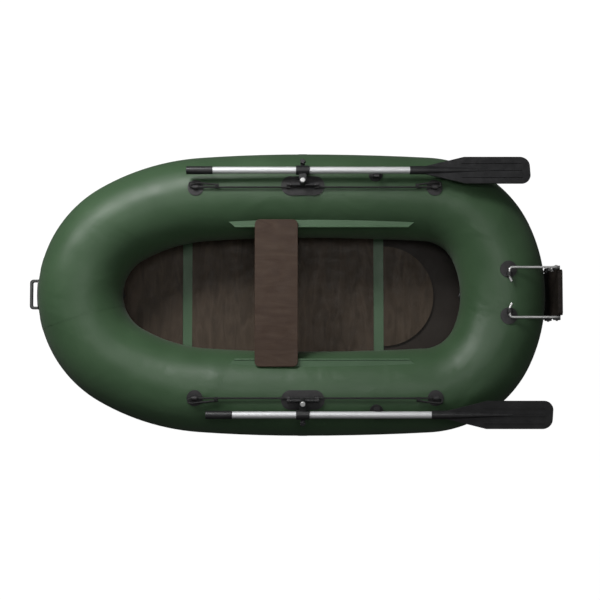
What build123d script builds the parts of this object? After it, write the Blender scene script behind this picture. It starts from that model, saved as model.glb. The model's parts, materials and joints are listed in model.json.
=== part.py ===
"""One-seat inflatable rowing boat with two oars, plank seat, plywood floor and hung transom.

Millimetres. +X runs aft to the stern, +Y to starboard, +Z up; the ground is z = 0 and the
origin is under the middle of the boat's overall length. The two air chambers are one tube
of round section that follows a closed ring of tangent arcs and is split at the seam plane.
"""

import os
from collections import namedtuple
from math import cos, degrees, hypot, pi, radians, sin, sqrt, tan

from build123d import *

# ---- hull ring: each end is three tangent arcs from the seam plane to the apex ----
TUBE_RADIUS = 190
AXIS_HALF_BEAM = 450
BOW_LENGTH = 1010
BOW_END_RADIUS = 370
BOW_SIDE_TURN = 4
BOW_SHOULDER_TURN = 30
STERN_LENGTH = 910
STERN_END_RADIUS = 560
STERN_SIDE_TURN = 3
STERN_SHOULDER_TURN = 65
SKIN = 1.4
BULKHEAD_THICKNESS = 1.4
TAPE_THICKNESS = 0.8
TAPE_WIDTH = 38
BOW_SEAM_Y = 91
TAPE_LOWEST_Z = 30

# ---- clearances ----
SOFT_GAP = 0.3
RUNNING_GAP = 0.05

# ---- bow handle ----
HANDLE_REACH = 41
HANDLE_WIDTH = 136
HANDLE_BAR = 13
HANDLE_HEIGHT = 18
HANDLE_PAD_WIDTH = 142
HANDLE_PAD_HEIGHT = 62
HANDLE_PAD_THICKNESS = 5

# ---- bottom and floor ----
BOTTOM_CONTACT_ANGLE = 30
BOTTOM_THICKNESS = 1.5
BOTTOM_TAPE_ANGLES = (15, 29)
FLOOR_THICKNESS = 9
FLOOR_INSET = 118
BOW_HINGE_AHEAD = 563
BOW_HINGE_WIDTH = 44
STERN_HINGE_AFT = 334
STERN_HINGE_WIDTH = 47
HINGE_ROLL_RADIUS = 4.5
STERN_BOARD_RADIUS = 235

# ---- seat and the bearers it slides on ----
SEAT_OVERHANG = 31
SEAT_WIDTH = 190
SEAT_THICKNESS = 12
SEAT_AHEAD = 116.6
SEAT_CORNER_RADIUS = 22
BEARER_ABOVE_AXIS = 141.5
BEARER_THICKNESS = 3
BEAD_RADIUS = 4.5
BEARER_REACH = 29.2
BEARER_AHEAD = 301
BEARER_AFT = 470
BEARER_END_SLANT = 36
RAIL_WIDTH = 17
RAIL_WALL = 2
RAIL_SETBACK = 5
RAIL_SLOT_GAP = 0.5
SEAT_SCREW_RADIUS = 6
SEAT_SCREW_HEIGHT = 2
SEAT_SCREW_AHEAD = 62

# ---- grab line and its eyes ----
LINE_RADIUS = 4
LINE_OUTBOARD = 11
LINE_ABOVE_TUBE = 11
LINE_HOLE_GAP = 0.4
BOW_EYE_AHEAD = 471
STERN_EYE_AFT = 579
EYE_PAD_RADIUS = 35
EYE_PAD_THICKNESS = 4
EYE_LENGTH = 22
EYE_WIDTH = 18
EYE_ABOVE_HOLE = 4

# ---- oarlock ----
LOCK_OUTBOARD_ANGLE = 5.74
LOCK_PAD_LENGTH = 190
LOCK_PAD_WIDTH = 85
LOCK_PAD_THICKNESS = 6
AXLE_RADIUS = 4
AXLE_ABOVE_TUBE = 21
LUG_SPAN = 124
LUG_LENGTH = 16
LUG_RADIUS = 8
POST_LEAN = 17
HEAD_RADIUS = 8.5
HEAD_GAP = 1
SHOULDER_RADIUS = 12
POST_RADIUS = 7
OAR_OUTBOARD = 54
OAR_ABOVE_AXLE = 31
HUB_RADIUS = 14
HUB_HEIGHT = 20
NUT_RADIUS = 11
NUT_HEIGHT = 8
NUT_GAP = 0.1
COLLAR_RADIUS = 20.5
COLLAR_LENGTH = 58
ARM_LENGTH = 30
ARM_THICKNESS = 14
COLLAR_SPLIT = 4
EAR_OUTBOARD = 33
EAR_RADIUS = 9
EAR_THICKNESS = 7
KNOB_BOLT_RADIUS = 3
KNOB_RADIUS = 12
KNOB_HEIGHT = 14
KNOB_LOBES = 5

# ---- oar ----
OAR_LENGTH = 1500
SHAFT_RADIUS = 15
GRIP_LENGTH = 115
GRIP_RADIUS = 17.5
GRIP_OVERLAP = 6
BLADE_LENGTH = 525
BLADE_WIDTH = 128
BLADE_THICKNESS = 6
BLADE_TAPER_START = 60
BLADE_TAPER_END = 240
BLADE_CORNER_RADIUS = 42
SOCKET_RADIUS = 18.5
SOCKET_DEPTH = 55
SPINE_END = 380
SPINE_TIP_RADIUS = 4
RIB_OFFSET = 34
RIB_WIDTH = 6
RIB_HEIGHT = 3
RIB_START = 225
RIB_END_MARGIN = 38
STARBOARD_GRIP_AHEAD = 508
PORT_GRIP_AHEAD = 420

# ---- clip that the stowed oar rests in ----
CLIP_AFT = 321
CLIP_PAD_RADIUS = 30
CLIP_PAD_THICKNESS = 5
CLIP_LENGTH = 24
CLIP_FLOOR = 8
CLIP_ARM = 7
CLIP_ARM_TOP = 6
CLIP_TONGUE = 26
CLIP_STEM_WIDTH = 22
CLIP_GAP = 0.5

# ---- transom on its two rods ----
TRANSOM_GAP = 12
TRANSOM_THICKNESS = 20
TRANSOM_WIDTH = 200
TRANSOM_FOOT_WIDTH = 176
TRANSOM_TOP_Z = 400
TRANSOM_BOTTOM_Z = 100
TRANSOM_CORNER_RADIUS = 14
ROD_RADIUS = 5
ROD_Y = 109
ROD_BEND = 30
ROD_FOOT_BEND = 20
ROD_HINGE_BEND = 13
ROD_FOOT_Z = 120
ROD_FOOT_INSET = 5
ROD_TAIL_LENGTH = 22
ROD_TAIL_ANGLE = 24
HINGE_AFT = 901
HINGE_ABOVE_TUBE = 22
HOLDER_PAD_RADIUS = 37
HOLDER_PAD_THICKNESS = 5
HOLDER_Y = 102
HOLDER_LUG_Y = (70, 90)
HOLDER_LUG_RADIUS = 11
CLAMP_HEIGHT = 30
CLAMP_DEPTH = 26
CLAMP_WALL = 6
CLAMP_TOP_Z = 330
CLAMP_BOTTOM_Z = 170
BOLT_HEAD_RADIUS = 5.5
BOLT_HEAD_HEIGHT = 4
FOOT_RADIUS = 12
FOOT_LENGTH = 16

# ---- air valves ----
VALVE_BELOW_ANGLE = 35
VALVE_FLANGE_RADIUS = 28
VALVE_FLANGE_THICKNESS = 4
VALVE_BARREL_RADIUS = 19.7
VALVE_HOLE_RADIUS = 20
VALVE_DEPTH = 30
VALVE_BORE_RADIUS = 15
VALVE_PORT_RADIUS = 2.8
VALVE_PORT_CIRCLE = 9.5
VALVE_PORTS = 6
VALVE_SEAT_THICKNESS = 3
VALVE_SEAT_DEPTH = 15
POPPET_RADIUS = 13.5
POPPET_THICKNESS = 3
POPPET_STEM_RADIUS = 3
POPPET_BUTTON_RADIUS = 7
POPPET_BUTTON_TOP = 1
POPPET_GAP = 0.2
SPRING_RADIUS = 6
SPRING_BORE = 4
CAP_RADIUS = 24
CAP_HEIGHT = 12
CAP_WALL = 4
CAP_GRIP_HEIGHT = 6
CAP_GRIP_WIDTH = 7

# ---- derived places ----
AXIS_Z = TUBE_RADIUS
TRANSOM_REACH = TRANSOM_GAP + TRANSOM_THICKNESS
SEAM_X = (BOW_LENGTH + HANDLE_REACH - STERN_LENGTH - TRANSOM_REACH) / 2
BOW_APEX_X = SEAM_X - BOW_LENGTH
STERN_APEX_X = SEAM_X + STERN_LENGTH
BEARER_Z = AXIS_Z + BEARER_ABOVE_AXIS
BEARER_ROOT_Y = AXIS_HALF_BEAM - sqrt(TUBE_RADIUS**2 - BEARER_ABOVE_AXIS**2)
BEAD_Y = BEARER_ROOT_Y - BEARER_REACH
SEAT_LENGTH = 2 * (BEAD_Y + SEAT_OVERHANG)
SEAT_X = SEAM_X - SEAT_AHEAD
SEAT_BOTTOM_Z = BEARER_Z + BEAD_RADIUS + RAIL_WALL
HINGE_X = SEAM_X + HINGE_AFT
HINGE_Z = AXIS_Z + TUBE_RADIUS + HINGE_ABOVE_TUBE
TRANSOM_X = STERN_APEX_X + TUBE_RADIUS + TRANSOM_GAP + TRANSOM_THICKNESS / 2
LINE_Y = AXIS_HALF_BEAM + LINE_OUTBOARD
LINE_Z = AXIS_Z + TUBE_RADIUS + LINE_ABOVE_TUBE
STARBOARD = 1
PORT = -1

Arc = namedtuple("Arc", "x y radius start sweep")


def end_arcs(length, end_radius, side_turn, shoulder_turn, direction):
    """Arcs of one end of the ring: starboard side, starboard shoulder, end, port shoulder, port side.

    The side and shoulder radii follow from the length and the half beam, because each arc
    is tangent to the next. direction is +1 for the stern and -1 for the bow.
    """
    a = radians(side_turn)
    b = radians(shoulder_turn)
    along = length - end_radius * (1 - sin(b))
    across = AXIS_HALF_BEAM - end_radius * cos(b)
    det = sin(a) * (cos(a) - cos(b)) - (sin(b) - sin(a)) * (1 - cos(a))
    side = (along * (cos(a) - cos(b)) - across * (sin(b) - sin(a))) / det
    shoulder = (across * sin(a) - along * (1 - cos(a))) / det
    side_centre = (0, AXIS_HALF_BEAM - side)
    shoulder_centre = ((side - shoulder) * sin(a), side_centre[1] + (side - shoulder) * cos(a))
    halves = (
        (side, side_centre, 0, side_turn),
        (shoulder, shoulder_centre, side_turn, shoulder_turn),
    )
    arcs = []
    for radius, (u, v), low, high in halves:
        start = 90 - high if direction > 0 else 90 + low
        arcs.append(Arc(SEAM_X + direction * u, v, radius, start, high - low))
    opening = 90 - shoulder_turn
    end_start = -opening if direction > 0 else 180 - opening
    end_x = SEAM_X + direction * (length - end_radius)
    port = [Arc(arc.x, -arc.y, arc.radius, -arc.start - arc.sweep, arc.sweep) for arc in arcs]
    return arcs + [Arc(end_x, 0, end_radius, end_start, 2 * opening)] + port[::-1]


BOW_ARCS = end_arcs(BOW_LENGTH, BOW_END_RADIUS, BOW_SIDE_TURN, BOW_SHOULDER_TURN, -1)
STERN_ARCS = end_arcs(STERN_LENGTH, STERN_END_RADIUS, STERN_SIDE_TURN, STERN_SHOULDER_TURN, 1)
BOW_END = [BOW_ARCS[2]]
STERN_END = [STERN_ARCS[2]]
STARBOARD_SIDE = [BOW_ARCS[1], BOW_ARCS[0], STERN_ARCS[0], STERN_ARCS[1]]


def axis_y(x):
    """Distance of the tube's axis from the boat's centreline at a station along the side."""
    for arc in BOW_ARCS[:2] + STERN_ARCS[:2]:
        near = arc.x + arc.radius * cos(radians(arc.start))
        far = arc.x + arc.radius * cos(radians(arc.start + arc.sweep))
        if min(near, far) <= x <= max(near, far):
            return arc.y + sqrt(arc.radius**2 - (x - arc.x) ** 2)
    raise ValueError("the station is beyond the shoulders")


def write(piece, name):
    """Label a finished piece and write it under its own name."""
    piece.part.label = name
    export_step(piece.part, f"parts/{name}.step")


def write_pair(piece, name):
    """Write a starboard piece and its mirror image to port."""
    write(piece, f"starboard_{name}")
    with BuildPart() as port:
        mirror(piece.part, about=Plane.XZ)
    write(port, f"port_{name}")


def follow(arcs, draw):
    """Sweep a section along ring arcs. Its plane has x outboard, y up, and the tube's axis at 0, 0."""
    with BuildPart() as swept:
        for arc in arcs:
            angle = radians(arc.start)
            out = (cos(angle), sin(angle), 0)
            place = (arc.x + arc.radius * out[0], arc.y + arc.radius * out[1], AXIS_Z)
            with BuildSketch(Plane(origin=place, x_dir=out, z_dir=(out[1], -out[0], 0))):
                draw()
            revolve(axis=Axis((arc.x, arc.y, 0), (0, 0, 1)), revolution_arc=arc.sweep)
    return swept.part


def shell(arcs, thickness):
    """A layer of the given thickness lying on the tube's outside."""

    def draw():
        Circle(TUBE_RADIUS + thickness)
        Circle(TUBE_RADIUS, mode=Mode.SUBTRACT)

    return follow(arcs, draw)


def tube(arcs, extra=0):
    """The solid envelope of the tube, for trimming what seats on it."""
    return follow(arcs, lambda: Circle(TUBE_RADIUS + extra))


def region(inset):
    """The face enclosed by the ring, inset from the tube's axis."""
    with BuildSketch() as inside:
        with BuildLine():
            for arc in STERN_ARCS + BOW_ARCS:
                CenterArc((arc.x, arc.y), arc.radius - inset, arc.start, arc.sweep)
        make_face()
    return inside.sketch


def radial_plane(x, outboard_angle):
    """Plane through the starboard tube's axis that looks outward at an angle from the vertical."""
    angle = radians(outboard_angle)
    return Plane(origin=(x, axis_y(x), AXIS_Z), x_dir=(1, 0, 0), z_dir=(0, sin(angle), cos(angle)))


# ---- local planes of the starboard oarlock ----
LEAN = radians(POST_LEAN)
LOCK_ANGLE = radians(LOCK_OUTBOARD_ANGLE)
AXLE_Y = AXIS_HALF_BEAM + (TUBE_RADIUS + AXLE_ABOVE_TUBE) * sin(LOCK_ANGLE)
AXLE_Z = AXIS_Z + (TUBE_RADIUS + AXLE_ABOVE_TUBE) * cos(LOCK_ANGLE)
# x along the boat, y outboard, z along the leaning post
LOCK = Plane(origin=(SEAM_X, AXLE_Y, AXLE_Z), x_dir=(1, 0, 0), z_dir=(0, sin(LEAN), cos(LEAN)))


def across_oar(aft):
    """Plane across the stowed oar at a distance aft of the post: x outboard, y along the post."""
    place = LOCK.from_local_coords((aft, OAR_OUTBOARD, OAR_ABOVE_AXLE))
    return Plane(origin=place, x_dir=LOCK.y_dir, z_dir=(1, 0, 0))


def along_oar(above, ahead):
    """Plane in the oar's swing plane, its origin on the oar's axis at the grip end."""
    place = LOCK.from_local_coords((-ahead, OAR_OUTBOARD, OAR_ABOVE_AXLE + above))
    return Plane(origin=place, x_dir=(1, 0, 0), z_dir=LOCK.z_dir)


def valve_plane(direction, height):
    """Plane across a valve; the valve looks inboard and down from the bow (+1) or stern (-1) apex."""
    angle = radians(VALVE_BELOW_ANGLE)
    apex = BOW_APEX_X if direction > 0 else STERN_APEX_X
    looking = (direction * cos(angle), 0, -sin(angle))
    return Plane(origin=(apex, 0, AXIS_Z), x_dir=(0, 1, 0), z_dir=looking).offset(height)


def make_chambers():
    def draw():
        Circle(TUBE_RADIUS)
        Circle(TUBE_RADIUS - SKIN, mode=Mode.SUBTRACT)

    for name, arcs, direction in (("bow_chamber", BOW_ARCS, 1), ("stern_chamber", STERN_ARCS, -1)):
        with BuildPart() as chamber:
            add(follow(arcs, draw))
            with BuildSketch(valve_plane(direction, TUBE_RADIUS - VALVE_DEPTH)):
                Circle(VALVE_HOLE_RADIUS)
            extrude(amount=2 * VALVE_DEPTH, mode=Mode.SUBTRACT)
        write(chamber, name)


def make_bulkheads():
    """A disc across the tube on each side closes the two chambers off from each other."""
    with BuildPart() as bulkheads:
        for side in (STARBOARD, PORT):
            place = (SEAM_X - BULKHEAD_THICKNESS / 2, side * AXIS_HALF_BEAM, AXIS_Z)
            with BuildSketch(Plane(origin=place, z_dir=(1, 0, 0))):
                Circle(TUBE_RADIUS - SKIN - SOFT_GAP)
            extrude(amount=BULKHEAD_THICKNESS)
    write(bulkheads, "chamber_bulkheads")


def part_of(arc, middle, width):
    """A short stretch of a ring arc, its middle at an angle about the arc's centre."""
    sweep = degrees(width / arc.radius)
    return Arc(arc.x, arc.y, arc.radius, middle - sweep / 2, sweep)


def make_seam_tapes(lock_pad, bearer):
    """Tapes round the tube at the seam plane and at the two bow seams, ending above the ground."""
    bow_angle = degrees(BOW_SEAM_Y / BOW_END_RADIUS)
    stretches = [
        [part_of(BOW_END[0], 180 - bow_angle, TAPE_WIDTH)],
        [part_of(BOW_END[0], 180 + bow_angle, TAPE_WIDTH)],
    ]
    half = TAPE_WIDTH / 2
    for side in (STARBOARD, PORT):
        bow_side = BOW_ARCS[0]
        stern_side = STERN_ARCS[0]
        bow_sweep = degrees(half / bow_side.radius)
        stern_sweep = degrees(half / stern_side.radius)
        if side == STARBOARD:
            bow_half = Arc(bow_side.x, bow_side.y, bow_side.radius, 90, bow_sweep)
            stern_half = Arc(stern_side.x, stern_side.y, stern_side.radius, 90 - stern_sweep, stern_sweep)
        else:
            bow_half = Arc(bow_side.x, -bow_side.y, bow_side.radius, -90 - bow_sweep, bow_sweep)
            stern_half = Arc(stern_side.x, -stern_side.y, stern_side.radius, -90, stern_sweep)
        stretches.append([bow_half, stern_half])
    with BuildPart() as tapes:
        for arcs in stretches:
            add(shell(arcs, TAPE_THICKNESS))
        with BuildSketch(Plane.XY.offset(-TAPE_WIDTH)):
            Rectangle(4 * BOW_LENGTH, 4 * AXIS_HALF_BEAM)
        extrude(amount=TAPE_WIDTH + TAPE_LOWEST_Z, mode=Mode.SUBTRACT)
        for piece in (lock_pad, bearer):
            add(piece, mode=Mode.SUBTRACT)
            mirror(piece, about=Plane.XZ, mode=Mode.SUBTRACT)
    write(tapes, "seam_tapes")


def make_bottom():
    """The bottom sheet meets the tube inboard of its lowest line; a tape laps the joint below."""
    contact = radians(BOTTOM_CONTACT_ANGLE)
    top = AXIS_Z - TUBE_RADIUS * cos(contact)
    with BuildPart() as sheet:
        with BuildSketch(Plane.XY.offset(top - BOTTOM_THICKNESS)):
            add(region(TUBE_RADIUS * sin(contact) + SOFT_GAP))
        extrude(amount=BOTTOM_THICKNESS)
    write(sheet, "bottom_sheet")

    def draw():
        low, high = BOTTOM_TAPE_ANGLES
        reach = 2 * TUBE_RADIUS
        corners = [(-reach * sin(radians(angle)), -reach * cos(radians(angle))) for angle in (low, high)]
        Circle(TUBE_RADIUS + TAPE_THICKNESS)
        Circle(TUBE_RADIUS, mode=Mode.SUBTRACT)
        Polygon((0, 0), *corners, align=None, mode=Mode.INTERSECT)

    with BuildPart() as tape:
        add(follow(BOW_ARCS + STERN_ARCS, draw))
    write(tape, "bottom_tape")
    return top


def make_floor(sheet_top):
    """Three plywood boards with a soft hinge strip in each gap between them."""
    bottom = sheet_top + SOFT_GAP
    bow_hinge_x = SEAM_X - BOW_HINGE_AHEAD
    middle_x = bow_hinge_x + BOW_HINGE_WIDTH
    stern_hinge_x = SEAM_X + STERN_HINGE_AFT
    stern_x = stern_hinge_x + STERN_HINGE_WIDTH
    spans = {
        "bow_floor_board": (BOW_APEX_X, bow_hinge_x),
        "middle_floor_board": (middle_x, stern_hinge_x),
    }
    for name, (start, end) in spans.items():
        with BuildPart() as board:
            with BuildSketch(Plane.XY.offset(bottom)):
                add(region(FLOOR_INSET))
                with Locations(((start + end) / 2, 0)):
                    Rectangle(end - start, 2 * AXIS_HALF_BEAM, mode=Mode.INTERSECT)
            extrude(amount=FLOOR_THICKNESS)
        write(board, name)

    with BuildPart() as stern_board:
        with BuildSketch(Plane.XY.offset(bottom)):
            with Locations((stern_x, 0)):
                Circle(STERN_BOARD_RADIUS)
            with Locations((stern_x + STERN_BOARD_RADIUS / 2, 0)):
                Rectangle(STERN_BOARD_RADIUS, 2 * STERN_BOARD_RADIUS, mode=Mode.INTERSECT)
        extrude(amount=FLOOR_THICKNESS)
    write(stern_board, "stern_floor_board")

    hinges = {
        "bow_floor_hinge": (bow_hinge_x, BOW_HINGE_WIDTH),
        "stern_floor_hinge": (stern_hinge_x, STERN_HINGE_WIDTH),
    }
    for name, (start, width) in hinges.items():
        with BuildPart() as hinge:
            with BuildSketch(Plane.XY.offset(bottom)):
                add(region(FLOOR_INSET))
                with Locations((start + width / 2, 0)):
                    Rectangle(width - 2 * SOFT_GAP, 2 * AXIS_HALF_BEAM, mode=Mode.INTERSECT)
            extrude(amount=FLOOR_THICKNESS - HINGE_ROLL_RADIUS / 2)
        write(hinge, name)


def make_bow_handle():
    """A moulded D handle whose pad is bonded on the bow at the tube's mid height."""
    tip = BOW_APEX_X - TUBE_RADIUS
    mid_plane = Plane(origin=(tip, 0, AXIS_Z), x_dir=(0, 1, 0), z_dir=(-1, 0, 0))
    pad_depth = HANDLE_PAD_WIDTH / 4
    with BuildPart() as pad:
        with BuildSketch(mid_plane.offset(-pad_depth)):
            RectangleRounded(HANDLE_PAD_WIDTH, HANDLE_PAD_HEIGHT, HANDLE_PAD_HEIGHT / 2 - 1)
        extrude(amount=2 * pad_depth)
        add(shell(BOW_END, HANDLE_PAD_THICKNESS), mode=Mode.INTERSECT)
    with BuildPart() as strap:
        length = HANDLE_REACH + pad_depth
        with BuildSketch(Plane.XY.offset(AXIS_Z - HANDLE_HEIGHT / 2)):
            with Locations((tip - HANDLE_REACH + length / 2, 0)):
                RectangleRounded(length, HANDLE_WIDTH, HANDLE_BAR * 1.2)
                gap = (length - 2 * HANDLE_BAR, HANDLE_WIDTH - 2 * HANDLE_BAR)
                RectangleRounded(*gap, HANDLE_BAR / 2, mode=Mode.SUBTRACT)
        extrude(amount=HANDLE_HEIGHT)
        fillet(strap.edges().filter_by(Plane.XY), HANDLE_BAR / 4)
        add(tube(BOW_END, HANDLE_PAD_THICKNESS / 2), mode=Mode.SUBTRACT)
    with BuildPart() as handle:
        add(pad.part)
        add(strap.part)
    write(handle, "bow_handle")


def pad_on(plane, draw, arcs, thickness):
    """A pad bonded on the tube: an outline drawn on a radial plane and lifted to the tube's surface."""
    with BuildPart() as pad:
        with BuildSketch(plane.offset(TUBE_RADIUS / 2)):
            draw()
        extrude(amount=TUBE_RADIUS)
        add(shell(arcs, thickness), mode=Mode.INTERSECT)
    return pad.part


def make_eyes():
    """Round pads with a lug through which the grab line passes."""
    for name, x in (("bow_eye", SEAM_X - BOW_EYE_AHEAD), ("stern_eye", SEAM_X + STERN_EYE_AFT)):
        angle = degrees((LINE_Y - axis_y(x)) / TUBE_RADIUS)
        trim = tube(STARBOARD_SIDE)
        with BuildPart() as eye:
            top = LINE_Z + LINE_RADIUS + EYE_ABOVE_HOLE
            root = top - TUBE_RADIUS / 4
            across = Plane(origin=(x - EYE_LENGTH / 2, LINE_Y, 0), x_dir=(0, 1, 0), z_dir=(1, 0, 0))
            with BuildSketch(across):
                with Locations((0, (top + root) / 2)):
                    RectangleRounded(EYE_WIDTH, top - root, EYE_WIDTH / 2 - 1)
                with Locations((0, LINE_Z)):
                    Circle(LINE_RADIUS + LINE_HOLE_GAP, mode=Mode.SUBTRACT)
            extrude(amount=EYE_LENGTH)
            add(trim, mode=Mode.SUBTRACT)
            plane = radial_plane(x, angle)
            add(pad_on(plane, lambda: Circle(EYE_PAD_RADIUS), STARBOARD_SIDE, EYE_PAD_THICKNESS))
        write_pair(eye, name)


def make_grab_line():
    """A taut line from eye to eye through the oarlock lugs; each tail goes round its eye and back."""
    bow_x = SEAM_X - BOW_EYE_AHEAD
    stern_x = SEAM_X + STERN_EYE_AFT
    return_y = LINE_Y + 24
    tail_y = LINE_Y + 10
    route = [
        (bow_x + 102, tail_y, LINE_Z),
        (bow_x - 24, return_y, LINE_Z),
        (bow_x - 24, LINE_Y, LINE_Z),
        (stern_x + 24, LINE_Y, LINE_Z),
        (stern_x + 24, return_y, LINE_Z),
        (stern_x - 84, tail_y, LINE_Z),
    ]
    turn = 0.45 * (return_y - LINE_Y)
    with BuildPart() as line:
        with BuildLine() as path:
            FilletPolyline(*route, radius=turn)
        with BuildSketch(Plane(origin=path.line @ 0, z_dir=path.line % 0)):
            Circle(LINE_RADIUS)
        sweep(path=path.line)
    expected = pi * LINE_RADIUS**2 * path.wires()[0].length
    print("grab line: turn radius", turn, "volume over section times length", line.part.volume / expected)
    write_pair(line, "grab_line")


def make_oarlock_base():
    """A rubber pad with two lugs that hold the axle, and holes inboard of it for the grab line."""
    plane = radial_plane(SEAM_X, LOCK_OUTBOARD_ANGLE)
    arcs = STARBOARD_SIDE[1:3]
    pad = pad_on(plane, lambda: SlotOverall(LOCK_PAD_LENGTH, LOCK_PAD_WIDTH), arcs, LOCK_PAD_THICKNESS)
    line_y = LINE_Y - AXIS_HALF_BEAM
    line_z = LINE_Z - AXIS_Z
    axle_y = AXLE_Y - AXIS_HALF_BEAM
    axle_z = AXLE_Z - AXIS_Z
    with BuildPart() as base:
        for side in (-1, 1):
            start = SEAM_X + side * LUG_SPAN / 2 - LUG_LENGTH / 2
            place = (start, AXIS_HALF_BEAM, AXIS_Z)
            with BuildSketch(Plane(origin=place, x_dir=(0, 1, 0), z_dir=(1, 0, 0))):
                with Locations((axle_y, axle_z), (line_y, line_z)):
                    Circle(LUG_RADIUS)
                foot = TUBE_RADIUS / 8
                with BuildLine():
                    Polyline(
                        (line_y - LUG_RADIUS, line_z),
                        (line_y - LUG_RADIUS, line_z - foot),
                        (axle_y + LUG_RADIUS, line_z - foot),
                        (axle_y + LUG_RADIUS, axle_z),
                        (axle_y, axle_z),
                        (line_y, line_z),
                        close=True,
                    )
                make_face()
                with Locations((axle_y, axle_z)):
                    Circle(AXLE_RADIUS + RUNNING_GAP, mode=Mode.SUBTRACT)
                with Locations((line_y, line_z)):
                    Circle(LINE_RADIUS + LINE_HOLE_GAP, mode=Mode.SUBTRACT)
            extrude(amount=LUG_LENGTH)
        add(tube(STARBOARD_SIDE[1:3]), mode=Mode.SUBTRACT)
        add(pad)
    write_pair(base, "oarlock_base")
    return pad


def make_axles():
    length = LUG_SPAN + LUG_LENGTH
    with BuildPart() as axles:
        for side in (STARBOARD, PORT):
            place = (SEAM_X - length / 2, side * AXLE_Y, AXLE_Z)
            with BuildSketch(Plane(origin=place, z_dir=(1, 0, 0))):
                Circle(AXLE_RADIUS)
            extrude(amount=length)
    write(axles, "oarlock_axles")


def make_oarlock_head():
    """A sleeve on the axle with a leaning post; a domed nut keeps the collar on the post."""
    hub_bottom = OAR_ABOVE_AXLE - HUB_HEIGHT / 2
    hub_top = OAR_ABOVE_AXLE + HUB_HEIGHT / 2
    sleeve = LUG_SPAN - LUG_LENGTH - 2 * HEAD_GAP
    with BuildPart() as head:
        with BuildSketch(Plane(origin=(SEAM_X - sleeve / 2, AXLE_Y, AXLE_Z), z_dir=(1, 0, 0))):
            Circle(HEAD_RADIUS)
        extrude(amount=sleeve)
        with BuildSketch(LOCK):
            Circle(SHOULDER_RADIUS)
        extrude(amount=hub_bottom - NUT_GAP)
        with BuildSketch(LOCK):
            Circle(POST_RADIUS)
        extrude(amount=hub_top + NUT_GAP + NUT_HEIGHT / 2)
        with BuildSketch(Plane(origin=(SEAM_X - sleeve / 2, AXLE_Y, AXLE_Z), z_dir=(1, 0, 0))):
            Circle(AXLE_RADIUS + RUNNING_GAP)
        extrude(amount=sleeve, mode=Mode.SUBTRACT)
    write_pair(head, "oarlock_head")
    with BuildPart() as nut:
        with BuildSketch(LOCK.offset(hub_top + NUT_GAP)):
            Circle(NUT_RADIUS)
        extrude(amount=NUT_HEIGHT)
        fillet(nut.faces().sort_by(Axis.Z)[-1].edges(), NUT_HEIGHT / 3)
        with BuildSketch(LOCK.offset(hub_top)):
            Circle(POST_RADIUS + RUNNING_GAP)
        extrude(amount=NUT_GAP + NUT_HEIGHT / 2 + RUNNING_GAP, mode=Mode.SUBTRACT)
    write_pair(nut, "oarlock_nut")


def make_collar():
    """A hub on the post, an arm, and a split ring that clamps the oar's shaft."""
    with BuildPart() as collar:
        with BuildSketch(LOCK.offset(OAR_ABOVE_AXLE - ARM_THICKNESS / 2)):
            with Locations((0, OAR_OUTBOARD / 2)):
                Rectangle(ARM_LENGTH, OAR_OUTBOARD)
        extrude(amount=ARM_THICKNESS)
        with BuildSketch(LOCK.offset(OAR_ABOVE_AXLE - HUB_HEIGHT / 2)):
            Circle(HUB_RADIUS)
        extrude(amount=HUB_HEIGHT)
        with BuildSketch(across_oar(-COLLAR_LENGTH / 2)):
            Circle(COLLAR_RADIUS)
        extrude(amount=COLLAR_LENGTH)
        ears = COLLAR_SPLIT + 2 * EAR_THICKNESS
        with BuildSketch(LOCK.offset(OAR_ABOVE_AXLE - ears / 2)):
            with Locations((0, OAR_OUTBOARD + EAR_OUTBOARD)):
                Circle(EAR_RADIUS)
            with Locations((0, OAR_OUTBOARD + EAR_OUTBOARD / 2)):
                Rectangle(2 * EAR_RADIUS, EAR_OUTBOARD)
        extrude(amount=ears)
        with BuildSketch(across_oar(-COLLAR_LENGTH / 2)):
            Circle(SHAFT_RADIUS + RUNNING_GAP)
            with Locations((EAR_OUTBOARD, 0)):
                Rectangle(2 * EAR_OUTBOARD, COLLAR_SPLIT)
        extrude(amount=COLLAR_LENGTH, mode=Mode.SUBTRACT)
        with BuildSketch(LOCK):
            Circle(POST_RADIUS + RUNNING_GAP)
            with Locations((0, OAR_OUTBOARD + EAR_OUTBOARD)):
                Circle(KNOB_BOLT_RADIUS + RUNNING_GAP)
        extrude(amount=2 * OAR_ABOVE_AXLE, mode=Mode.SUBTRACT)
    write_pair(collar, "oar_collar")

    ears = COLLAR_SPLIT + 2 * EAR_THICKNESS
    with BuildPart() as knob:
        seat = OAR_ABOVE_AXLE + ears / 2 + SOFT_GAP
        centre = (0, OAR_OUTBOARD + EAR_OUTBOARD)
        with BuildSketch(LOCK.offset(OAR_ABOVE_AXLE - ears / 2 - EAR_THICKNESS / 2)):
            with Locations(centre):
                Circle(KNOB_BOLT_RADIUS)
        extrude(amount=ears + EAR_THICKNESS)
        with BuildSketch(LOCK.offset(OAR_ABOVE_AXLE - ears / 2 - EAR_THICKNESS / 2 - SOFT_GAP)):
            with Locations(centre):
                RegularPolygon(2 * KNOB_BOLT_RADIUS, 6)
        extrude(amount=EAR_THICKNESS / 2)
        with BuildSketch(LOCK.offset(seat)):
            with Locations(centre):
                Circle(KNOB_RADIUS * 0.8)
                with PolarLocations(KNOB_RADIUS * 0.72, KNOB_LOBES):
                    Circle(KNOB_RADIUS * 0.36)
        extrude(amount=KNOB_HEIGHT)
        fillet(knob.faces().sort_by(Axis((0, 0, 0), LOCK.z_dir))[-1].edges(), 2)
    write_pair(knob, "clamp_knob")


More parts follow.
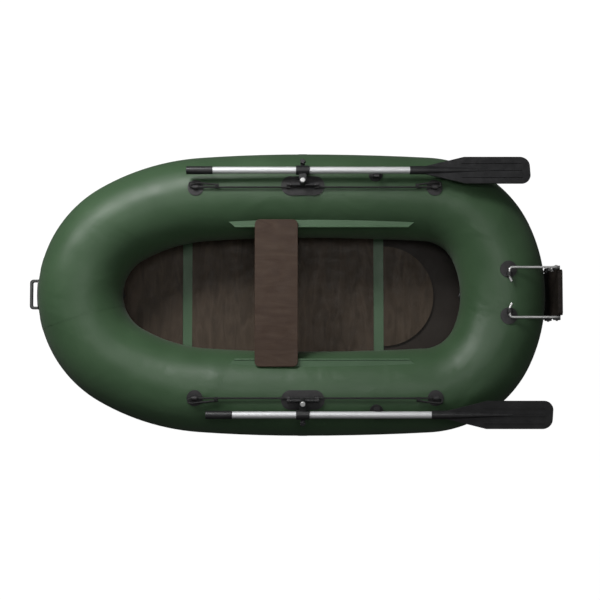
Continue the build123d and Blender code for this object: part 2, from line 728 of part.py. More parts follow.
def make_oar(side_name, grip_ahead):
    """An alloy shaft with a ribbed grip and a moulded blade whose socket takes the shaft's end."""
    grip_end = -grip_ahead
    blade_start = grip_end + OAR_LENGTH - BLADE_LENGTH
    with BuildPart() as shaft:
        with BuildSketch(across_oar(grip_end + GRIP_OVERLAP)):
            Circle(SHAFT_RADIUS)
        extrude(amount=OAR_LENGTH - BLADE_LENGTH + SOCKET_DEPTH - GRIP_OVERLAP)

    with BuildPart() as grip:
        with BuildSketch(across_oar(grip_end)):
            Circle(GRIP_RADIUS)
        extrude(amount=GRIP_LENGTH)
        fillet(grip.edges().filter_by(GeomType.CIRCLE), GRIP_OVERLAP / 3)
        with BuildSketch(across_oar(grip_end + GRIP_OVERLAP - RUNNING_GAP)):
            Circle(SHAFT_RADIUS + RUNNING_GAP)
        extrude(amount=GRIP_LENGTH, mode=Mode.SUBTRACT)

    half = BLADE_WIDTH / 2
    with BuildPart() as blade:
        with BuildSketch(along_oar(-BLADE_THICKNESS / 2, grip_ahead)):
            start = OAR_LENGTH - BLADE_LENGTH
            with BuildLine():
                Polyline(
                    (start + BLADE_TAPER_START, -SOCKET_RADIUS + 2),
                    (start + BLADE_TAPER_END, -half),
                    (OAR_LENGTH, -half),
                    (OAR_LENGTH, half),
                    (start + BLADE_TAPER_END, half),
                    (start + BLADE_TAPER_START, SOCKET_RADIUS - 2),
                    close=True,
                )
            outline = make_face()
            fillet(outline.vertices().group_by(Axis.X)[-1], BLADE_CORNER_RADIUS)
        extrude(amount=BLADE_THICKNESS)
        ribs = OAR_LENGTH - RIB_END_MARGIN - start - RIB_START
        with BuildSketch(along_oar(-BLADE_THICKNESS / 2 - RIB_HEIGHT, grip_ahead)):
            for offset in (-RIB_OFFSET, RIB_OFFSET):
                with Locations((start + RIB_START + ribs / 2, offset)):
                    SlotOverall(ribs, RIB_WIDTH)
            with Locations((start + (SPINE_END + BLADE_LENGTH) / 2 - RIB_END_MARGIN, 0)):
                SlotOverall(BLADE_LENGTH - SPINE_END, RIB_WIDTH)
        extrude(amount=BLADE_THICKNESS + 2 * RIB_HEIGHT)
        with BuildSketch(across_oar(blade_start)):
            Circle(SOCKET_RADIUS)
        extrude(amount=SOCKET_DEPTH + BLADE_TAPER_START / 4)
        spine_start = blade_start + SOCKET_DEPTH + BLADE_TAPER_START / 4
        with BuildSketch(across_oar(spine_start)):
            Circle(SOCKET_RADIUS)
        with BuildSketch(across_oar(blade_start + SPINE_END)):
            Circle(SPINE_TIP_RADIUS)
        loft()
        with BuildSketch(across_oar(blade_start)):
            Circle(SHAFT_RADIUS + RUNNING_GAP)
        extrude(amount=SOCKET_DEPTH + RUNNING_GAP, mode=Mode.SUBTRACT)

    for name, piece in (("oar_shaft", shaft), ("oar_grip", grip), ("oar_blade", blade)):
        if side_name == "starboard":
            write(piece, f"starboard_{name}")
        else:
            with BuildPart() as port:
                mirror(piece.part, about=Plane.XZ)
            write(port, f"port_{name}")


def make_clip():
    """A rubber hook: the stowed shaft lies on its tongue, beside its inboard arm.

    The arm's face stays just inside the shaft's path round the axle, so the oar lifts out.
    """
    low = SHAFT_RADIUS + CLIP_GAP
    path_radius = hypot(OAR_OUTBOARD, OAR_ABOVE_AXLE) - low - CLIP_GAP
    arm = []
    for height in (-low, -low / 2, 0, CLIP_ARM_TOP):
        arm.append((sqrt(path_radius**2 - (OAR_ABOVE_AXLE + height) ** 2) - OAR_OUTBOARD, height))
    station = SEAM_X + CLIP_AFT
    place = across_oar(CLIP_AFT - CLIP_LENGTH / 2)
    angle = degrees((place.origin.Y - axis_y(station)) / (place.origin.Z - AXIS_Z))
    plane = radial_plane(station, angle)
    trim = tube(STARBOARD_SIDE[2:])
    with BuildPart() as clip:
        with BuildSketch(place):
            with BuildLine():
                Polyline(
                    (arm[0][0] - CLIP_ARM, -low - CLIP_FLOOR),
                    (CLIP_TONGUE - CLIP_FLOOR, -low - CLIP_FLOOR),
                    (CLIP_TONGUE, -low - CLIP_FLOOR / 2),
                    (CLIP_TONGUE, -low),
                    *arm,
                    (arm[-1][0] - CLIP_ARM, CLIP_ARM_TOP),
                    (arm[1][0] - CLIP_ARM, arm[1][1]),
                    close=True,
                )
            make_face()
        extrude(amount=CLIP_LENGTH)
        with BuildSketch(place):
            with Locations((-low / 2, -low - CLIP_FLOOR / 2 - TUBE_RADIUS / 8)):
                Rectangle(CLIP_STEM_WIDTH, TUBE_RADIUS / 4)
        extrude(amount=CLIP_LENGTH)
        add(trim, mode=Mode.SUBTRACT)
        add(pad_on(plane, lambda: Circle(CLIP_PAD_RADIUS), STARBOARD_SIDE[2:], CLIP_PAD_THICKNESS))
    write_pair(clip, "oar_clip")


def make_bearers():
    """A flange bonded along the tube's inboard side, with a bead on its free edge for the seat's rail."""
    start = SEAM_X - BEARER_AHEAD
    end = SEAM_X + BEARER_AFT
    reach = BEARER_REACH + TUBE_RADIUS / 3
    slant = BEARER_END_SLANT * reach / BEARER_REACH
    with BuildPart() as bearer:
        with BuildSketch(Plane.XY.offset(BEARER_Z - BEARER_THICKNESS / 2)):
            with BuildLine():
                Polyline(
                    (start, BEAD_Y),
                    (start - slant, BEAD_Y + reach),
                    (end + slant, BEAD_Y + reach),
                    (end, BEAD_Y),
                    close=True,
                )
            make_face()
        extrude(amount=BEARER_THICKNESS)
        add(tube(STARBOARD_SIDE), mode=Mode.SUBTRACT)
        with BuildSketch(Plane(origin=(start, BEAD_Y, BEARER_Z), x_dir=(0, 1, 0), z_dir=(1, 0, 0))):
            Circle(BEAD_RADIUS)
        extrude(amount=end - start)
    write_pair(bearer, "seat_bearer")
    return bearer.part


def make_seat():
    """A plywood plank on two C rails that run on the bearers' beads, screwed on from below."""
    with BuildPart() as board:
        with BuildSketch(Plane.XY.offset(SEAT_BOTTOM_Z)):
            with Locations((SEAT_X, 0)):
                RectangleRounded(SEAT_WIDTH, SEAT_LENGTH, SEAT_CORNER_RADIUS)
        extrude(amount=SEAT_THICKNESS)
        fillet(board.edges().filter_by(Plane.XY), 2)
    write(board, "seat_board")

    rail_length = SEAT_WIDTH - 2 * RAIL_SETBACK
    bore = BEAD_RADIUS + SOFT_GAP
    height = RAIL_WALL + BEAD_RADIUS + bore + RAIL_WALL
    with BuildPart() as rail:
        place = (SEAT_X - rail_length / 2, BEAD_Y, BEARER_Z)
        with BuildSketch(Plane(origin=place, x_dir=(0, 1, 0), z_dir=(1, 0, 0))):
            with Locations((0, SEAT_BOTTOM_Z - BEARER_Z - height / 2)):
                Rectangle(RAIL_WIDTH, height)
            Circle(bore, mode=Mode.SUBTRACT)
            with Locations((RAIL_WIDTH / 2, 0)):
                Rectangle(RAIL_WIDTH, BEARER_THICKNESS + 2 * RAIL_SLOT_GAP, mode=Mode.SUBTRACT)
        extrude(amount=rail_length)
    write_pair(rail, "seat_rail")

    with BuildPart() as screws:
        with BuildSketch(Plane.XY.offset(SEAT_BOTTOM_Z - height - SEAT_SCREW_HEIGHT)):
            with Locations((SEAT_X, 0)):
                with GridLocations(2 * SEAT_SCREW_AHEAD, 2 * BEAD_Y, 2, 2):
                    Circle(SEAT_SCREW_RADIUS)
        extrude(amount=SEAT_SCREW_HEIGHT)
        chamfer(screws.faces().group_by(Axis.Z)[0].edges(), SEAT_SCREW_HEIGHT / 2)
    write(screws, "seat_screws")


def make_transom_holders():
    """Round pads on the stern's crown, each with a lug that the rod's cross end turns in."""
    crown = Plane(origin=(HINGE_X, HOLDER_Y, AXIS_Z), x_dir=(1, 0, 0), z_dir=(0, 0, 1))
    low, high = HOLDER_LUG_Y
    with BuildPart() as holder:
        with BuildSketch(Plane(origin=(HINGE_X, low, HINGE_Z), x_dir=(1, 0, 0), z_dir=(0, 1, 0))):
            Circle(HOLDER_LUG_RADIUS)
            with Locations((0, HOLDER_LUG_RADIUS + HINGE_ABOVE_TUBE / 2)):
                Rectangle(2 * HOLDER_LUG_RADIUS, 2 * HOLDER_LUG_RADIUS + HINGE_ABOVE_TUBE)
            Circle(ROD_RADIUS + RUNNING_GAP, mode=Mode.SUBTRACT)
        extrude(amount=high - low)
        add(tube(STERN_END), mode=Mode.SUBTRACT)
        add(pad_on(crown, lambda: Circle(HOLDER_PAD_RADIUS), STERN_END, HOLDER_PAD_THICKNESS))
    write_pair(holder, "transom_holder")


def make_transom_rods():
    """Bent rods: a cross end in the holder, a leg aft over the tube, down the board and forward."""
    low, high = HOLDER_LUG_Y
    tail = radians(ROD_TAIL_ANGLE)
    drop = sqrt(TUBE_RADIUS**2 - (AXIS_Z - ROD_FOOT_Z) ** 2)
    foot_x = STERN_APEX_X + drop + ROD_FOOT_INSET
    bend_y = low - SOFT_GAP - ROD_RADIUS * tan(tail / 2) - 1
    route = [
        (HINGE_X + ROD_TAIL_LENGTH * sin(tail), bend_y - ROD_TAIL_LENGTH * cos(tail), HINGE_Z),
        (HINGE_X, bend_y, HINGE_Z),
        (HINGE_X, ROD_Y, HINGE_Z),
        (TRANSOM_X, ROD_Y, HINGE_Z),
        (TRANSOM_X, ROD_Y, ROD_FOOT_Z),
        (foot_x, ROD_Y, ROD_FOOT_Z),
    ]
    with BuildPart() as rod:
        with BuildLine() as path:
            FilletPolyline(*route, radius=[2, ROD_HINGE_BEND, ROD_BEND, ROD_FOOT_BEND])
        with BuildSketch(Plane(origin=path.line @ 0, z_dir=path.line % 0)):
            Circle(ROD_RADIUS)
        sweep(path=path.line)
    write_pair(rod, "transom_rod")
    return rod.part


def make_transom(rod):
    with BuildPart() as board:
        plane = Plane(origin=(TRANSOM_X - TRANSOM_THICKNESS / 2, 0, 0), x_dir=(0, 1, 0), z_dir=(1, 0, 0))
        with BuildSketch(plane):
            with BuildLine():
                Polyline(
                    (-TRANSOM_WIDTH / 2, TRANSOM_TOP_Z),
                    (TRANSOM_WIDTH / 2, TRANSOM_TOP_Z),
                    (TRANSOM_WIDTH / 2, CLAMP_BOTTOM_Z - CLAMP_HEIGHT),
                    (TRANSOM_FOOT_WIDTH / 2, TRANSOM_BOTTOM_Z),
                    (-TRANSOM_FOOT_WIDTH / 2, TRANSOM_BOTTOM_Z),
                    (-TRANSOM_WIDTH / 2, CLAMP_BOTTOM_Z - CLAMP_HEIGHT),
                    close=True,
                )
            outline = make_face()
            fillet(outline.vertices().group_by(Axis.Z)[-1], TRANSOM_CORNER_RADIUS)
        extrude(amount=TRANSOM_THICKNESS)
    write(board, "transom_board")

    clamp_width = ROD_Y - TRANSOM_WIDTH / 2 + ROD_RADIUS + CLAMP_WALL
    middle_y = TRANSOM_WIDTH / 2 + clamp_width / 2
    with BuildPart() as clamps:
        for z in (CLAMP_TOP_Z, CLAMP_BOTTOM_Z):
            with BuildSketch(Plane.XY.offset(z - CLAMP_HEIGHT / 2)):
                for side in (STARBOARD, PORT):
                    with Locations((TRANSOM_X, side * middle_y)):
                        Rectangle(CLAMP_DEPTH, clamp_width)
                    with Locations((TRANSOM_X, side * ROD_Y)):
                        Circle(ROD_RADIUS + RUNNING_GAP, mode=Mode.SUBTRACT)
            extrude(amount=CLAMP_HEIGHT)
    write(clamps, "transom_clamps")

    outer_y = TRANSOM_WIDTH / 2 + clamp_width
    with BuildPart() as bolts:
        for side in (STARBOARD, PORT):
            for z in (CLAMP_TOP_Z, CLAMP_BOTTOM_Z):
                place = (TRANSOM_X, side * outer_y, z)
                with BuildSketch(Plane(origin=place, x_dir=(1, 0, 0), z_dir=(0, side, 0))):
                    RegularPolygon(BOLT_HEAD_RADIUS, 6)
                extrude(amount=BOLT_HEAD_HEIGHT)
    write(bolts, "transom_bolts")

    drop = sqrt(TUBE_RADIUS**2 - (AXIS_Z - ROD_FOOT_Z) ** 2)
    foot_end = STERN_APEX_X + drop
    with BuildPart() as feet:
        for side in (STARBOARD, PORT):
            place = (foot_end - FOOT_LENGTH / 2, side * ROD_Y, ROD_FOOT_Z)
            with BuildSketch(Plane(origin=place, z_dir=(1, 0, 0))):
                Circle(FOOT_RADIUS)
            extrude(amount=FOOT_LENGTH)
        add(tube(STERN_END, SOFT_GAP), mode=Mode.SUBTRACT)
        add(rod, mode=Mode.SUBTRACT)
        mirror(rod, about=Plane.XZ, mode=Mode.SUBTRACT)
    write(feet, "transom_feet")


def make_valve(name, direction, arcs):
    """A flanged barrel with a ported seat, a sprung poppet below it and a cap over it."""
    top = TUBE_RADIUS + VALVE_FLANGE_THICKNESS
    seat_top = top - VALVE_SEAT_DEPTH
    seat_bottom = seat_top - VALVE_SEAT_THICKNESS
    inner_end = top - VALVE_DEPTH
    disc_top = seat_bottom - POPPET_GAP
    button_top = top - POPPET_BUTTON_TOP
    button_bottom = button_top - POPPET_THICKNESS

    def disc(low, high, radius, mode=Mode.ADD):
        with BuildSketch(valve_plane(direction, low)) as face:
            Circle(radius)
        extrude(face.sketch, amount=high - low, mode=mode)

    with BuildPart() as body:
        disc(TUBE_RADIUS - VALVE_FLANGE_THICKNESS, top, VALVE_FLANGE_RADIUS)
        add(tube(arcs), mode=Mode.SUBTRACT)
        disc(inner_end, top, VALVE_BARREL_RADIUS)
        disc(seat_top, top, VALVE_BORE_RADIUS, Mode.SUBTRACT)
        disc(inner_end, seat_bottom, VALVE_BORE_RADIUS, Mode.SUBTRACT)
        with BuildSketch(valve_plane(direction, seat_bottom)):
            Circle(POPPET_STEM_RADIUS + RUNNING_GAP)
            with PolarLocations(VALVE_PORT_CIRCLE, VALVE_PORTS):
                Circle(VALVE_PORT_RADIUS)
        extrude(amount=VALVE_SEAT_THICKNESS, mode=Mode.SUBTRACT)
    write(body, f"{name}_valve_body")

    with BuildPart() as poppet:
        disc(disc_top - POPPET_THICKNESS, disc_top, POPPET_RADIUS)
        disc(disc_top, button_top, POPPET_STEM_RADIUS)
        disc(button_bottom, button_top, POPPET_BUTTON_RADIUS)
    write(poppet, f"{name}_valve_poppet")

    with BuildPart() as spring:
        disc(seat_top + POPPET_GAP, button_bottom - POPPET_GAP, SPRING_RADIUS)
        disc(seat_top, button_bottom, SPRING_BORE, Mode.SUBTRACT)
    write(spring, f"{name}_valve_spring")

    cap_bottom = top + SOFT_GAP
    with BuildPart() as cap:
        disc(cap_bottom, cap_bottom + CAP_HEIGHT, CAP_RADIUS)
        disc(cap_bottom, cap_bottom + CAP_HEIGHT - CAP_WALL, CAP_RADIUS - CAP_WALL, Mode.SUBTRACT)
        with BuildSketch(valve_plane(direction, cap_bottom + CAP_HEIGHT - CAP_WALL / 2)):
            Rectangle(CAP_GRIP_WIDTH, 2 * CAP_RADIUS - CAP_WALL)
        extrude(amount=CAP_GRIP_HEIGHT + CAP_WALL / 2)
    write(cap, f"{name}_valve_cap")


def main():
    os.makedirs("parts", exist_ok=True)
    make_chambers()
    make_bulkheads()
    lock_pad = make_oarlock_base()
    make_seam_tapes(lock_pad, make_bearers())
    make_floor(make_bottom())
    make_bow_handle()
    make_eyes()
    make_grab_line()
    make_axles()
    make_oarlock_head()
    make_collar()
    make_oar("starboard", STARBOARD_GRIP_AHEAD)
    make_oar("port", PORT_GRIP_AHEAD)
    make_clip()
    make_seat()
    make_transom_holders()
    make_transom(make_transom_rods())
    make_valve("bow", 1, BOW_END)
    make_valve("stern", -1, STERN_END)


main()
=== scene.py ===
"""Looks of the inflatable rowing boat: materials, grab lines, light and camera."""

import json
from math import cos, pi, sin

import bmesh
import bpy
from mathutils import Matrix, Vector


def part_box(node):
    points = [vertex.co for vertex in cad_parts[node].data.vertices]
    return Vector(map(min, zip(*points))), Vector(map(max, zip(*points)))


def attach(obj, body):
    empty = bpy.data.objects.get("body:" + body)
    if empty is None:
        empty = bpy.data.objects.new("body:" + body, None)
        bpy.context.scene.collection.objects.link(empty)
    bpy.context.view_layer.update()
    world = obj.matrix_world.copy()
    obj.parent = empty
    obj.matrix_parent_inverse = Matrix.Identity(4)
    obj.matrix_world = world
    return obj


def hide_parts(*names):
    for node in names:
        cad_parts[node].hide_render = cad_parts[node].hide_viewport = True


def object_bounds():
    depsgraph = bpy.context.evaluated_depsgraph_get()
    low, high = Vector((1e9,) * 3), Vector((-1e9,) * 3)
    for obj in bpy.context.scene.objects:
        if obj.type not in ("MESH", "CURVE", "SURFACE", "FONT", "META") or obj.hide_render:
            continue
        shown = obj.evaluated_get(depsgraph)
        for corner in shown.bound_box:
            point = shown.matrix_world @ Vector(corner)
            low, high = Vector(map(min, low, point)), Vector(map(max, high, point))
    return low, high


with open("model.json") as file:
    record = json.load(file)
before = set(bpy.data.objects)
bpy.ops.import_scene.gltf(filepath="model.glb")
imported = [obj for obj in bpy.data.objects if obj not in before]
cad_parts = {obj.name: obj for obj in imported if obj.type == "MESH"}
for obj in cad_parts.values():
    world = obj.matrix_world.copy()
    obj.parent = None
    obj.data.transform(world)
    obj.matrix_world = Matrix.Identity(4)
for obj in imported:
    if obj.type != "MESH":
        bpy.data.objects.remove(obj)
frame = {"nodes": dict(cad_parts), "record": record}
nodes = frame["nodes"]
cad_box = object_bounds()


# ---- sizes, in metres ----
ROPE_RETURN_OFFSET = 0.024
ROPE_TAIL_OFFSET = 0.010
ROPE_TURN_BULGE = 0.003
ROPE_STRAIGHT_FROM_TURN = 0.060
BOW_TAIL = 0.126
STERN_TAIL = 0.108
TAIL_PAST_WHIPPING = 0.008
ROUTE_TO_CURVE_LENGTH = 0.985
WHIPPING_TURNS = 7
WHIPPING_STEPS = 8
WHIPPING_WIRE = 0.0011
WHIPPING_PITCH = 2.1 * WHIPPING_WIRE
WHIPPING_WIDE = 0.0062
WHIPPING_HIGH = 0.0008
FLOOR_HALF_SIZE = 14
CAMERA_TARGET_SHIFT = Vector((0.041, -0.025, 0))
CAMERA_BACK = Vector((0, -0.211, 4.71))
CAMERA_LENS = 62.1
# name, place, target, size of the rectangle and power in watts
LIGHTS = (
    ("key", (-1.7, 2.9, 2.9), (-0.25, 0.1, 0.2), (1.8, 1.2), 124),
    ("top", (0.1, 0.5, 4.3), (0, 0.1, 0.2), (2.6, 0.8), 26),
    ("bow", (-2.9, 1.7, 2.3), (-1.0, 0.2, 0.3), (0.8, 0.8), 28),
    ("fill", (2.2, -2.0, 3.4), (0, 0, 0.2), (2.0, 2.0), 3),
)


# ---- helpers ----
def centre(node):
    low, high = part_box(node)
    return Vector([(low[i] + high[i]) / 2 for i in range(3)])


def object_from(mesh, name, material, body, smooth=True):
    piece = bpy.data.objects.new(name, mesh)
    bpy.context.scene.collection.objects.link(piece)
    piece.data.materials.append(material)
    if smooth and piece.type == "MESH":
        for face in piece.data.polygons:
            face.use_smooth = True
    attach(piece, body)
    return piece


def nurbs(name, points, radius, material, body, closed=False, resolution=12):
    """A round cord on a smooth line that has the points as its control points."""
    curve = bpy.data.curves.new(name, "CURVE")
    curve.dimensions = "3D"
    spline = curve.splines.new("NURBS")
    spline.points.add(len(points) - 1)
    for point, place in zip(spline.points, points):
        point.co = (*place, 1)
    spline.order_u = 3
    spline.use_endpoint_u = not closed
    spline.use_cyclic_u = closed
    spline.resolution_u = resolution
    curve.bevel_depth = radius
    curve.bevel_resolution = 5
    curve.use_fill_caps = True
    return object_from(curve, name, material, body)


class Shader:
    """A Principled material with short ways to add noise, mixing and bump."""

    def __init__(self, name, colour, roughness, metallic=0.0):
        self.material = bpy.data.materials.new(name)
        self.material.use_nodes = True
        self.nodes = self.material.node_tree.nodes
        self.links = self.material.node_tree.links
        self.surface = self.nodes["Principled BSDF"]
        self.set("Base Color", (*colour, 1))
        self.set("Roughness", roughness)
        self.set("Metallic", metallic)
        self.coordinates = self.nodes.new("ShaderNodeTexCoord").outputs["Object"]
        self.bumped = None

    def set(self, socket, value):
        self.surface.inputs[socket].default_value = value

    def mapped(self, scale, rotation=(0, 0, 0)):
        mapping = self.nodes.new("ShaderNodeMapping")
        mapping.inputs["Scale"].default_value = scale
        mapping.inputs["Rotation"].default_value = rotation
        self.links.new(self.coordinates, mapping.inputs["Vector"])
        return mapping.outputs["Vector"]

    def noise(self, scale, detail=3, stretch=(1, 1, 1), distortion=0.0):
        texture = self.nodes.new("ShaderNodeTexNoise")
        texture.inputs["Scale"].default_value = scale
        texture.inputs["Detail"].default_value = detail
        texture.inputs["Distortion"].default_value = distortion
        self.links.new(self.mapped(stretch), texture.inputs["Vector"])
        return texture.outputs["Fac"]

    def wave(self, scale, direction, rotation=(0, 0, 0), distortion=0.0):
        texture = self.nodes.new("ShaderNodeTexWave")
        texture.bands_direction = direction
        texture.inputs["Scale"].default_value = scale
        texture.inputs["Distortion"].default_value = distortion
        self.links.new(self.mapped((1, 1, 1), rotation), texture.inputs["Vector"])
        return texture.outputs["Fac"]

    def ramp(self, factor, low, high, start=0.0, end=1.0):
        node = self.nodes.new("ShaderNodeMapRange")
        node.inputs["From Min"].default_value = low
        node.inputs["From Max"].default_value = high
        node.inputs["To Min"].default_value = start
        node.inputs["To Max"].default_value = end
        self.links.new(factor, node.inputs["Value"])
        return node.outputs["Result"]

    def colours(self, factor, first, second):
        mix = self.nodes.new("ShaderNodeMix")
        mix.data_type = "RGBA"
        self.links.new(factor, mix.inputs["Factor"])
        for socket, colour in ((6, first), (7, second)):
            if isinstance(colour, tuple):
                mix.inputs[socket].default_value = (*colour, 1)
            else:
                self.links.new(colour, mix.inputs[socket])
        self.links.new(mix.outputs[2], self.surface.inputs["Base Color"])
        return mix.outputs[2]

    def rough(self, factor, low, high):
        self.links.new(self.ramp(factor, 0.3, 0.7, low, high), self.surface.inputs["Roughness"])

    def bump(self, height, distance, strength=1.0):
        node = self.nodes.new("ShaderNodeBump")
        node.inputs["Distance"].default_value = distance
        node.inputs["Strength"].default_value = strength
        self.links.new(height, node.inputs["Height"])
        if self.bumped:
            self.links.new(self.bumped, node.inputs["Normal"])
        self.bumped = node.outputs["Normal"]
        self.links.new(self.bumped, self.surface.inputs["Normal"])

    def part_of_position(self, axis):
        """The object coordinate along X, Y or Z, in metres."""
        split = self.nodes.new("ShaderNodeSeparateXYZ")
        self.links.new(self.coordinates, split.inputs["Vector"])
        return split.outputs[axis]


# ---- materials ----
def coated_cloth(name, colour, light, wrinkles=0.0011, roughness=0.42):
    """PVC-coated cloth: satin skin over a fine weave, faint mottling and long soft wrinkles."""
    shade = Shader(name, colour, roughness)
    shade.colours(shade.ramp(shade.noise(3.2, 4), 0.35, 0.68), colour, light)
    shade.rough(shade.noise(9, 5), roughness - 0.05, roughness + 0.07)
    shade.bump(shade.noise(4.5, 2, (1, 1, 0.6), 0.8), wrinkles * 6)
    shade.bump(shade.noise(38, 2), wrinkles * 0.35)
    for direction in ("X", "Y"):
        shade.bump(shade.wave(330, direction), 0.00006, 0.5)
    shade.set("Specular IOR Level", 0.42)
    shade.set("Sheen Weight", 0.08)
    return shade.material


def film_faced_ply(name, dark, light, grain="Y", roughness=0.5):
    """Film-faced plywood: mottled brown film with a faint net print, long grain and light scuffs."""
    stretch = (4, 0.9, 1) if grain == "Y" else (0.9, 4, 1)
    shade = Shader(name, dark, roughness)
    mottled = shade.ramp(shade.noise(6, 6, stretch, 1.5), 0.35, 0.7)
    body = shade.colours(mottled, dark, light)
    scuffs = shade.ramp(shade.noise(30, 6, (3, 3, 3), 2.0), 0.66, 0.74, 0, 0.35)
    shade.colours(scuffs, body, tuple(1.9 * channel for channel in light))
    shade.rough(shade.noise(25, 4), roughness - 0.1, roughness + 0.12)
    shade.bump(shade.noise(40, 4, stretch), 0.0004, 0.6)
    shade.set("Specular IOR Level", 0.22)
    shade.bump(shade.wave(120, "X", (0, 0, pi / 4)), 0.00015, 0.35)
    shade.bump(shade.wave(120, "Y", (0, 0, pi / 4)), 0.00015, 0.35)
    return shade.material


def moulded(name, colour, roughness, grain=900, depth=0.00012, worn=0.35):
    """Moulded plastic or rubber with a fine spark-eroded grain and paler, rubbed patches."""
    shade = Shader(name, colour, roughness)
    shade.colours(
        shade.ramp(shade.noise(22, 5), 0.42, 0.75), colour, tuple(c * (1 + worn) + 0.006 for c in colour)
    )
    shade.rough(shade.noise(60, 4), roughness - 0.08, roughness + 0.1)
    shade.bump(shade.noise(grain, 2), depth, 0.5)
    shade.bump(shade.noise(35, 3), 0.0006, 0.25)
    return shade.material


def metal(name, colour, roughness, stretch, streak=400):
    """Satin metal with streaks along the stretch and a few dull smudges."""
    shade = Shader(name, colour, roughness, 0.5)
    smudges = shade.ramp(shade.noise(14, 5, stretch), 0.35, 0.7)
    shade.colours(smudges, colour, tuple(0.78 * c for c in colour))
    shade.rough(shade.noise(streak, 3, stretch), roughness - 0.06, roughness + 0.12)
    shade.bump(shade.noise(streak, 2, stretch), 0.00005, 0.5)
    return shade.material


def braid(name, colour):
    """Braided cord: two families of slanting strands."""
    shade = Shader(name, colour, 0.62)
    for angle in (pi / 4, -pi / 4):
        shade.bump(shade.wave(150, "X", (0, 0, angle)), 0.0006, 0.7)
    # Painted shade and highlight: the strands are lighter on their crowns and darker in the grooves,
    # following the same wave as the first bump.
    shade.colours(shade.wave(150, "X", (0, 0, pi / 4)), colour, tuple(2.2 * c for c in colour))
    return shade.material


HULL_DARK = (0.042, 0.088, 0.040)
HULL_LIGHT = (0.053, 0.105, 0.050)
materials = {
    "hull_pvc": coated_cloth("hull_cloth", HULL_DARK, HULL_LIGHT),
    "bulkhead_pvc": coated_cloth("bulkhead_cloth", (0.10, 0.15, 0.09), (0.12, 0.17, 0.11)),
    # Painted shade: the bottom cloth is coloured near-black brown, the look of the bottom lying in shade
    # in the gaps between the floor boards and the tubes.
    "bottom_pvc": coated_cloth("bottom_cloth_painted_shade", (0.017, 0.011, 0.008), (0.026, 0.018, 0.013), 0.0011, 0.62),
    "bearer_pvc": coated_cloth("bearer_cloth", (0.062, 0.125, 0.062), (0.075, 0.145, 0.075), 0.0004),
    "floor_ply": film_faced_ply("floor_film", (0.050, 0.036, 0.025), (0.082, 0.059, 0.042)),
    "seat_ply": film_faced_ply("seat_film", (0.056, 0.034, 0.024), (0.078, 0.051, 0.036), "X"),
    "transom_ply": film_faced_ply("transom_film", (0.012, 0.009, 0.008), (0.024, 0.018, 0.015), "X"),
    "black_rubber": moulded("rubber_black", (0.022, 0.021, 0.022), 0.55),
    "handle_rubber": moulded("rubber_grey", (0.045, 0.048, 0.046), 0.5),
    "line_rope": braid("rope_black", (0.012, 0.012, 0.012)),
    "steel": metal("steel_rod", (0.82, 0.82, 0.81), 0.34, (1, 1, 1)),
    "black_plastic": moulded("plastic_black", (0.016, 0.016, 0.017), 0.38),
    "shaft_alloy": metal("alloy_shaft", (0.84, 0.85, 0.86), 0.5, (0.05, 1, 1)),
}


def paint_cad_nodes():
    for entry in frame["record"]["subparts"]:
        node = nodes[entry["node"]]
        node.data.materials.clear()
        node.data.materials.append(materials[entry["material_slot"]])


# ---- grab lines ----
def make_grab_lines():
    """Taut black cords from eye to eye; each tail turns round its eye and is whipped to the line."""
    for side, sign in (("starboard", 1), ("port", -1)):
        node = f"{side}_grab_line"
        low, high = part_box(node)
        radius = (high[2] - low[2]) / 2
        z = (high[2] + low[2]) / 2
        bow_turn = low[0] + radius
        stern_turn = high[0] - radius
        line_y = (low[1] if sign > 0 else high[1]) + sign * radius
        return_y = line_y + sign * ROPE_RETURN_OFFSET
        tail_y = line_y + sign * ROPE_TAIL_OFFSET
        route = [
            (bow_turn + BOW_TAIL, tail_y, z),
            (bow_turn + ROPE_STRAIGHT_FROM_TURN, (tail_y + return_y) / 2, z),
            (bow_turn, return_y, z),
            (bow_turn - ROPE_TURN_BULGE, (line_y + return_y) / 2, z),
            (bow_turn, line_y, z),
            (bow_turn + ROPE_STRAIGHT_FROM_TURN, line_y, z),
            ((bow_turn + stern_turn) / 2, line_y, z),
            (stern_turn - ROPE_STRAIGHT_FROM_TURN, line_y, z),
            (stern_turn, line_y, z),
            (stern_turn + ROPE_TURN_BULGE, (line_y + return_y) / 2, z),
            (stern_turn, return_y, z),
            (stern_turn - STERN_TAIL / 2, (tail_y + return_y) / 2, z),
            (stern_turn - STERN_TAIL, tail_y, z),
        ]
        line = nurbs(f"{side}_rope", route, radius, materials["line_rope"], "hull")
        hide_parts(node)
        spans = zip(route, route[1:])
        length = ROUTE_TO_CURVE_LENGTH * sum((Vector(b) - Vector(a)).length for a, b in spans)
        bow_whipping = bow_turn + BOW_TAIL - TAIL_PAST_WHIPPING
        stern_whipping = stern_turn - STERN_TAIL + TAIL_PAST_WHIPPING
        for place, x in (("bow", bow_whipping), ("stern", stern_whipping)):
            middle = (x, (line_y + tail_y) / 2, z)
            make_whipping(f"{side}_{place}_whipping", middle, radius)


def make_whipping(name, place, radius):
    """Turns of thin cord that bind a tail to the line: a flat helix round both."""
    steps = WHIPPING_TURNS * WHIPPING_STEPS
    points = []
    for step in range(steps + 1):
        angle = step * 2 * pi / WHIPPING_STEPS
        along = (step / steps - 0.5) * WHIPPING_TURNS * WHIPPING_PITCH
        points.append(
            (
                place[0] + along,
                place[1] + (radius + WHIPPING_WIDE) * cos(angle),
                place[2] + (radius + WHIPPING_HIGH) * sin(angle),
            )
        )
    piece = nurbs(name, points, WHIPPING_WIRE, materials["line_rope"], "hull", resolution=4)
    return piece


# ---- light, floor and camera ----
def area_light(name, place, target, size, power):
    data = bpy.data.lights.new(name, "AREA")
    data.shape = "RECTANGLE"
    data.size, data.size_y = size
    data.energy = power
    lamp = bpy.data.objects.new(name, data)
    bpy.context.scene.collection.objects.link(lamp)
    lamp.location = place
    lamp.rotation_euler = (Vector(target) - Vector(place)).to_track_quat("-Z", "Y").to_euler()


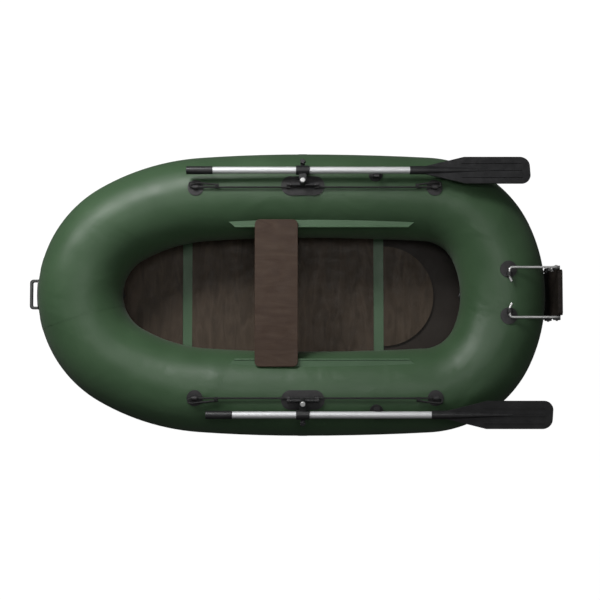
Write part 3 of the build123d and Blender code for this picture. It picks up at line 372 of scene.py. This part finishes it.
def make_stage():
    mesh = bpy.data.meshes.new("floor")
    form = bmesh.new()
    bmesh.ops.create_grid(form, x_segments=1, y_segments=1, size=FLOOR_HALF_SIZE)
    form.to_mesh(mesh)
    form.free()
    floor = bpy.data.objects.new("floor", mesh)
    bpy.context.scene.collection.objects.link(floor)
    floor.location.z = -0.001
    shade = Shader("floor_white", (0.05, 0.05, 0.05), 0.95)
    shade.set("Emission Color", (1, 1, 1, 1))
    shade.set("Emission Strength", 1.0)
    floor.data.materials.append(shade.material)
    floor.visible_diffuse = False
    floor.visible_glossy = False

    make_world()
    for name, place, target, size, power in LIGHTS:
        area_light(name, place, target, size, power)


def make_world():
    """Even light from above the horizon and very little from below."""
    world = bpy.data.worlds.new("studio")
    bpy.context.scene.world = world
    world.use_nodes = True
    tree = world.node_tree
    background = tree.nodes["Background"]
    direction = tree.nodes.new("ShaderNodeTexCoord")
    split = tree.nodes.new("ShaderNodeSeparateXYZ")
    level = tree.nodes.new("ShaderNodeMapRange")
    level.inputs["From Min"].default_value = 0.05
    level.inputs["From Max"].default_value = 0.9
    level.inputs["To Min"].default_value = 0.02
    level.inputs["To Max"].default_value = 0.13
    tree.links.new(direction.outputs["Generated"], split.inputs["Vector"])
    tree.links.new(split.outputs["Z"], level.inputs["Value"])
    tree.links.new(level.outputs["Result"], background.inputs["Strength"])
    background.inputs["Color"].default_value = (1, 1, 1, 1)


def make_camera():
    """Almost straight above the middle of the boat, leaning a little from the port side."""
    middle = (cad_box[0] + cad_box[1]) / 2
    target = Vector((middle.x, middle.y, centre("bow_chamber").z)) + CAMERA_TARGET_SHIFT
    data = bpy.data.cameras.new("camera")
    data.lens = CAMERA_LENS
    data.sensor_width = 36
    camera = bpy.data.objects.new("camera", data)
    bpy.context.scene.collection.objects.link(camera)
    camera.location = target + CAMERA_BACK
    camera.rotation_euler = (target - camera.location).to_track_quat("-Z", "Y").to_euler()
    bpy.context.scene.camera = camera
    bpy.context.scene.view_settings.view_transform = "Standard"


make_camera()
paint_cad_nodes()
make_grab_lines()
make_stage()
